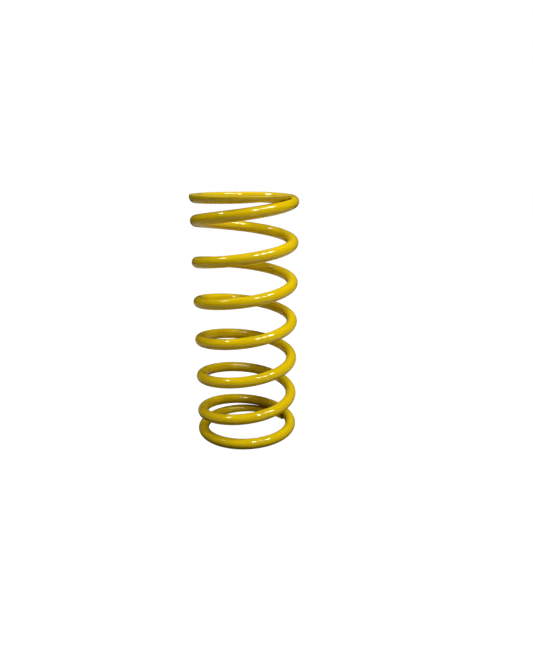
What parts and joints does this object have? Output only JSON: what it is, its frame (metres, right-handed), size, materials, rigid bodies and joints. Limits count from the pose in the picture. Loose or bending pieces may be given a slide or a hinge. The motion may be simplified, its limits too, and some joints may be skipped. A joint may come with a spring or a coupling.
{
  "type": "coil spring",
  "caption": "Round-wire helical compression spring for a coilover damper, constant diameter and pitch, with closed and ground ends.",
  "frame": {"origin": "on the spring's axis, in the plane of the bottom ground seat", "axes": "+Z along the spring's axis from the bottom seat to the top seat; the wire's bottom tip is 26 degrees from +X towards +Y, and the spring is right-hand wound"},
  "size_m": [0.0756, 0.0756, 0.178],
  "materials": {
    "yellow_coating": "gloss"
  },
  "bodies": {
    "bottom_end_coil": {"bottom_end_coil": "yellow_coating"},
    "active_coil_1_quarter_1": {"active_coil_1_quarter_1": "yellow_coating"},
    "active_coil_1_quarter_2": {"active_coil_1_quarter_2": "yellow_coating"},
    "active_coil_1_quarter_3": {"active_coil_1_quarter_3": "yellow_coating"},
    "active_coil_1_quarter_4": {"active_coil_1_quarter_4": "yellow_coating"},
    "active_coil_2_quarter_1": {"active_coil_2_quarter_1": "yellow_coating"},
    "active_coil_2_quarter_2": {"active_coil_2_quarter_2": "yellow_coating"},
    "active_coil_2_quarter_3": {"active_coil_2_quarter_3": "yellow_coating"},
    "active_coil_2_quarter_4": {"active_coil_2_quarter_4": "yellow_coating"},
    "active_coil_3_quarter_1": {"active_coil_3_quarter_1": "yellow_coating"},
    "active_coil_3_quarter_2": {"active_coil_3_quarter_2": "yellow_coating"},
    "active_coil_3_quarter_3": {"active_coil_3_quarter_3": "yellow_coating"},
    "active_coil_3_quarter_4": {"active_coil_3_quarter_4": "yellow_coating"},
    "active_coil_4_quarter_1": {"active_coil_4_quarter_1": "yellow_coating"},
    "active_coil_4_quarter_2": {"active_coil_4_quarter_2": "yellow_coating"},
    "active_coil_4_quarter_3": {"active_coil_4_quarter_3": "yellow_coating"},
    "active_coil_4_quarter_4": {"active_coil_4_quarter_4": "yellow_coating"},
    "active_coil_5_quarter_1": {"active_coil_5_quarter_1": "yellow_coating"},
    "active_coil_5_quarter_2": {"active_coil_5_quarter_2": "yellow_coating"},
    "active_coil_5_quarter_3": {"active_coil_5_quarter_3": "yellow_coating"},
    "active_coil_5_quarter_4": {"active_coil_5_quarter_4": "yellow_coating"},
    "active_coil_6_quarter_1": {"active_coil_6_quarter_1": "yellow_coating"},
    "active_coil_6_quarter_2": {"active_coil_6_quarter_2": "yellow_coating"},
    "active_coil_6_quarter_3": {"active_coil_6_quarter_3": "yellow_coating"},
    "active_coil_6_quarter_4": {"active_coil_6_quarter_4": "yellow_coating"},
    "top_end_coil": {"top_end_coil": "yellow_coating"}
  },
  "joints": [
    {"name": "axial_compression", "type": "slide", "parent": "bottom_end_coil", "child": "top_end_coil", "axis": [0, 0, -1], "range_m": [0, 0.105], "stiffness_N_per_m": 20160},
    {"name": "active_coil_1_quarter_1_slide", "type": "slide", "parent": "bottom_end_coil", "child": "active_coil_1_quarter_1", "axis": [0, 0, -1], "range_m": [0, 0.00013]},
    {"name": "active_coil_1_quarter_2_slide", "type": "slide", "parent": "bottom_end_coil", "child": "active_coil_1_quarter_2", "axis": [0, 0, -1], "range_m": [0, 0.00198]},
    {"name": "active_coil_1_quarter_3_slide", "type": "slide", "parent": "bottom_end_coil", "child": "active_coil_1_quarter_3", "axis": [0, 0, -1], "range_m": [0, 0.00729]},
    {"name": "active_coil_1_quarter_4_slide", "type": "slide", "parent": "bottom_end_coil", "child": "active_coil_1_quarter_4", "axis": [0, 0, -1], "range_m": [0, 0.0125]},
    {"name": "active_coil_2_quarter_1_slide", "type": "slide", "parent": "bottom_end_coil", "child": "active_coil_2_quarter_1", "axis": [0, 0, -1], "range_m": [0, 0.01706]},
    {"name": "active_coil_2_quarter_2_slide", "type": "slide", "parent": "bottom_end_coil", "child": "active_coil_2_quarter_2", "axis": [0, 0, -1], "range_m": [0, 0.02141]},
    {"name": "active_coil_2_quarter_3_slide", "type": "slide", "parent": "bottom_end_coil", "child": "active_coil_2_quarter_3", "axis": [0, 0, -1], "range_m": [0, 0.02675]},
    {"name": "active_coil_2_quarter_4_slide", "type": "slide", "parent": "bottom_end_coil", "child": "active_coil_2_quarter_4", "axis": [0, 0, -1], "range_m": [0, 0.03164]},
    {"name": "active_coil_3_quarter_1_slide", "type": "slide", "parent": "bottom_end_coil", "child": "active_coil_3_quarter_1", "axis": [0, 0, -1], "range_m": [0, 0.03594]},
    {"name": "active_coil_3_quarter_2_slide", "type": "slide", "parent": "bottom_end_coil", "child": "active_coil_3_quarter_2", "axis": [0, 0, -1], "range_m": [0, 0.04085]},
    {"name": "active_coil_3_quarter_3_slide", "type": "slide", "parent": "bottom_end_coil", "child": "active_coil_3_quarter_3", "axis": [0, 0, -1], "range_m": [0, 0.0462]},
    {"name": "active_coil_3_quarter_4_slide", "type": "slide", "parent": "bottom_end_coil", "child": "active_coil_3_quarter_4", "axis": [0, 0, -1], "range_m": [0, 0.05075]},
    {"name": "active_coil_4_quarter_1_slide", "type": "slide", "parent": "bottom_end_coil", "child": "active_coil_4_quarter_1", "axis": [0, 0, -1], "range_m": [0, 0.05507]},
    {"name": "active_coil_4_quarter_2_slide", "type": "slide", "parent": "bottom_end_coil", "child": "active_coil_4_quarter_2", "axis": [0, 0, -1], "range_m": [0, 0.06029]},
    {"name": "active_coil_4_quarter_3_slide", "type": "slide", "parent": "bottom_end_coil", "child": "active_coil_4_quarter_3", "axis": [0, 0, -1], "range_m": [0, 0.06567]},
    {"name": "active_coil_4_quarter_4_slide", "type": "slide", "parent": "bottom_end_coil", "child": "active_coil_4_quarter_4", "axis": [0, 0, -1], "range_m": [0, 0.06966]},
    {"name": "active_coil_5_quarter_1_slide", "type": "slide", "parent": "bottom_end_coil", "child": "active_coil_5_quarter_1", "axis": [0, 0, -1], "range_m": [0, 0.07439]},
    {"name": "active_coil_5_quarter_2_slide", "type": "slide", "parent": "bottom_end_coil", "child": "active_coil_5_quarter_2", "axis": [0, 0, -1], "range_m": [0, 0.07975]},
    {"name": "active_coil_5_quarter_3_slide", "type": "slide", "parent": "bottom_end_coil", "child": "active_coil_5_quarter_3", "axis": [0, 0, -1], "range_m": [0, 0.08504]},
    {"name": "active_coil_5_quarter_4_slide", "type": "slide", "parent": "bottom_end_coil", "child": "active_coil_5_quarter_4", "axis": [0, 0, -1], "range_m": [0, 0.08864]},
    {"name": "active_coil_6_quarter_1_slide", "type": "slide", "parent": "bottom_end_coil", "child": "active_coil_6_quarter_1", "axis": [0, 0, -1], "range_m": [0, 0.0938]},
    {"name": "active_coil_6_quarter_2_slide", "type": "slide", "parent": "bottom_end_coil", "child": "active_coil_6_quarter_2", "axis": [0, 0, -1], "range_m": [0, 0.09922]},
    {"name": "active_coil_6_quarter_3_slide", "type": "slide", "parent": "bottom_end_coil", "child": "active_coil_6_quarter_3", "axis": [0, 0, -1], "range_m": [0, 0.10424]},
    {"name": "active_coil_6_quarter_4_slide", "type": "slide", "parent": "bottom_end_coil", "child": "active_coil_6_quarter_4", "axis": [0, 0, -1], "range_m": [0, 0.10492]}
  ],
  "couplings": [
    {"joint": "active_coil_1_quarter_1_slide", "follows": "axial_compression", "ratio": 0.001},
    {"joint": "active_coil_1_quarter_2_slide", "follows": "axial_compression", "ratio": 0.0186},
    {"joint": "active_coil_1_quarter_3_slide", "follows": "axial_compression", "ratio": 0.0692},
    {"joint": "active_coil_1_quarter_4_slide", "follows": "axial_compression", "ratio": 0.1188},
    {"joint": "active_coil_2_quarter_1_slide", "follows": "axial_compression", "ratio": 0.1622},
    {"joint": "active_coil_2_quarter_2_slide", "follows": "axial_compression", "ratio": 0.2037},
    {"joint": "active_coil_2_quarter_3_slide", "follows": "axial_compression", "ratio": 0.2545},
    {"joint": "active_coil_2_quarter_4_slide", "follows": "axial_compression", "ratio": 0.3011},
    {"joint": "active_coil_3_quarter_1_slide", "follows": "axial_compression", "ratio": 0.342},
    {"joint": "active_coil_3_quarter_2_slide", "follows": "axial_compression", "ratio": 0.3888},
    {"joint": "active_coil_3_quarter_3_slide", "follows": "axial_compression", "ratio": 0.4398},
    {"joint": "active_coil_3_quarter_4_slide", "follows": "axial_compression", "ratio": 0.4831},
    {"joint": "active_coil_4_quarter_1_slide", "follows": "axial_compression", "ratio": 0.5242},
    {"joint": "active_coil_4_quarter_2_slide", "follows": "axial_compression", "ratio": 0.574},
    {"joint": "active_coil_4_quarter_3_slide", "follows": "axial_compression", "ratio": 0.6252},
    {"joint": "active_coil_4_quarter_4_slide", "follows": "axial_compression", "ratio": 0.6632},
    {"joint": "active_coil_5_quarter_1_slide", "follows": "axial_compression", "ratio": 0.7082},
    {"joint": "active_coil_5_quarter_2_slide", "follows": "axial_compression", "ratio": 0.7593},
    {"joint": "active_coil_5_quarter_3_slide", "follows": "axial_compression", "ratio": 0.8097},
    {"joint": "active_coil_5_quarter_4_slide", "follows": "axial_compression", "ratio": 0.844},
    {"joint": "active_coil_6_quarter_1_slide", "follows": "axial_compression", "ratio": 0.8931},
    {"joint": "active_coil_6_quarter_2_slide", "follows": "axial_compression", "ratio": 0.9447},
    {"joint": "active_coil_6_quarter_3_slide", "follows": "axial_compression", "ratio": 0.9925},
    {"joint": "active_coil_6_quarter_4_slide", "follows": "axial_compression", "ratio": 0.999}
  ]
}
